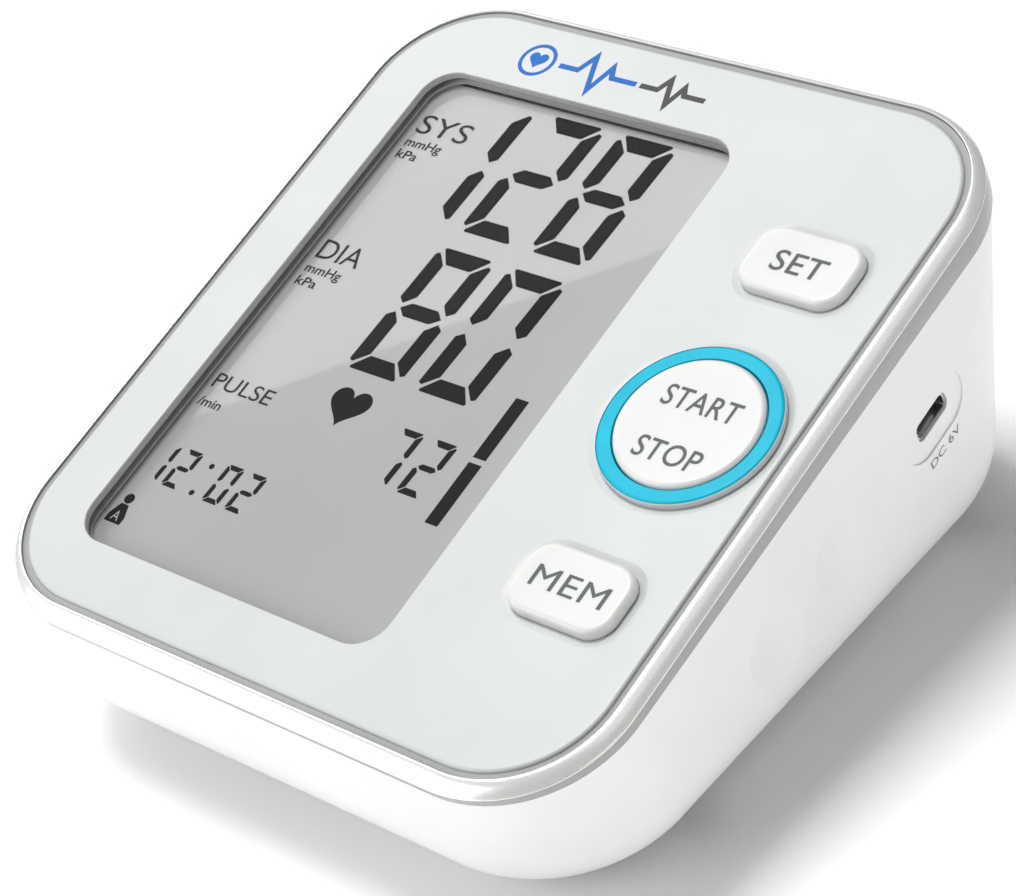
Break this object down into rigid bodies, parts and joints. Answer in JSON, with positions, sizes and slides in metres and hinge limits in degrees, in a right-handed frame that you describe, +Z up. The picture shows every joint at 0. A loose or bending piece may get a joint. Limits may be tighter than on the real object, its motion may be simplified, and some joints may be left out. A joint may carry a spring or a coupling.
{
  "type": "upper arm blood pressure monitor",
  "caption": "Wedge-shaped table unit of an upper arm blood pressure monitor: sloping display face, press keys, lit start ring, cuff hose socket, power jack and battery door.",
  "frame": {"origin": "on the table, under the middle of the unit", "axes": "+X to the user's right, +Y away from the user towards the tall back, +Z up"},
  "size_m": [0.1142, 0.1226, 0.058],
  "materials": {
    "tub_white": "satin white, fine moulded surface",
    "frame_grey": "matt mid grey",
    "trim_silver": "silver metallic lacquer",
    "panel_white": "smooth cool white, slight gloss",
    "lens_clear": "clear acrylic cover",
    "ring_cyan": "translucent cyan",
    "key_white": "satin white",
    "switch_black": "black",
    "lcd_grey": "grey liquid crystal cell",
    "reflector": "satin foil",
    "light_guide": "milky",
    "carrier_white": "moulded white",
    "strip_rubber": "striped elastomer",
    "board_green": "green solder mask",
    "chip_black": "moulded black",
    "led_white": "milky",
    "screw_steel": "zinc plated",
    "contact_nickel": "nickel plated",
    "motor_can": "plated can",
    "pump_black": "moulded black",
    "sleeve_rubber": "matt rubber",
    "valve_steel": "plated yoke",
    "manifold_white": "moulded",
    "socket_grey": "moulded grey",
    "hose_silicone": "translucent silicone",
    "jack_steel": "nickel plated",
    "cell_wrap": "printed wrapper, blank",
    "label_silver": "blank film label",
    "foot_rubber": "soft grey"
  },
  "bodies": {
    "housing": {"lower_housing": "tub_white", "upper_housing": "frame_grey", "trim_ring": "trim_silver", "front_panel": "panel_white", "display_lens": "lens_clear", "light_ring": "ring_cyan", "key_switches": "switch_black", "lcd_glass": "lcd_grey", "lcd_reflector": "reflector", "backlight_panel": "light_guide", "lcd_carrier": "carrier_white", "connector_strip": "strip_rubber", "main_board": "board_green", "board_chips": "chip_black", "ring_leds": "led_white", "buzzer": "chip_black", "pressure_sensor": "chip_black", "board_screws": "screw_steel", "contact_plates_left": "contact_nickel", "contact_plates_right": "contact_nickel", "battery_springs": "contact_nickel", "pump_motor": "motor_can", "pump_head": "pump_black", "pump_sleeve": "sleeve_rubber", "valve_body": "valve_steel", "air_manifold": "manifold_white", "air_socket": "socket_grey", "pump_hose": "hose_silicone", "cuff_hose": "hose_silicone", "sensor_hose": "hose_silicone", "usb_shell": "jack_steel", "usb_tongue": "chip_black", "jack_board": "board_green", "housing_screws": "screw_steel", "rating_label": "label_silver", "cell_1": "cell_wrap", "cell_2": "cell_wrap", "cell_3": "cell_wrap", "cell_4": "cell_wrap", "rubber_foot_1": "foot_rubber", "rubber_foot_2": "foot_rubber", "rubber_foot_3": "foot_rubber", "rubber_foot_4": "foot_rubber"},
    "set_key": {"set_key": "key_white", "set_plunger": "switch_black"},
    "start_stop_key": {"start_stop_key": "key_white", "start_stop_plunger": "switch_black"},
    "memory_key": {"memory_key": "key_white", "memory_plunger": "switch_black"},
    "battery_door": {"battery_door": "tub_white"},
    "pump_rotor": {"pump_shaft": "screw_steel"},
    "valve_plunger": {"valve_plunger": "valve_steel"}
  },
  "joints": [
    {"name": "set_key_press", "type": "slide", "parent": "housing", "child": "set_key", "axis": [0, 0.2419, -0.9703], "range_m": [0, 0.0008], "stiffness_N_per_m": 1200, "springref_m": -0.0004},
    {"name": "start_stop_key_press", "type": "slide", "parent": "housing", "child": "start_stop_key", "axis": [0, 0.2419, -0.9703], "range_m": [0, 0.0008], "stiffness_N_per_m": 1200, "springref_m": -0.0004},
    {"name": "memory_key_press", "type": "slide", "parent": "housing", "child": "memory_key", "axis": [0, 0.2419, -0.9703], "range_m": [0, 0.0008], "stiffness_N_per_m": 1200, "springref_m": -0.0004},
    {"name": "battery_door_swing", "type": "hinge", "parent": "housing", "child": "battery_door", "pos_m": [0, -0.044, 0.0024], "axis": [-1, 0, 0], "range_deg": [0, 90]},
    {"name": "pump_spin", "type": "hinge", "parent": "housing", "child": "pump_rotor", "pos_m": [0, 0.0388, 0.019], "axis": [-1, 0, 0], "continuous": true},
    {"name": "valve_close", "type": "slide", "parent": "housing", "child": "valve_plunger", "axis": [0, 1, 0], "range_m": [0, 0.001], "stiffness_N_per_m": 200, "springref_m": -0.0005}
  ]
}
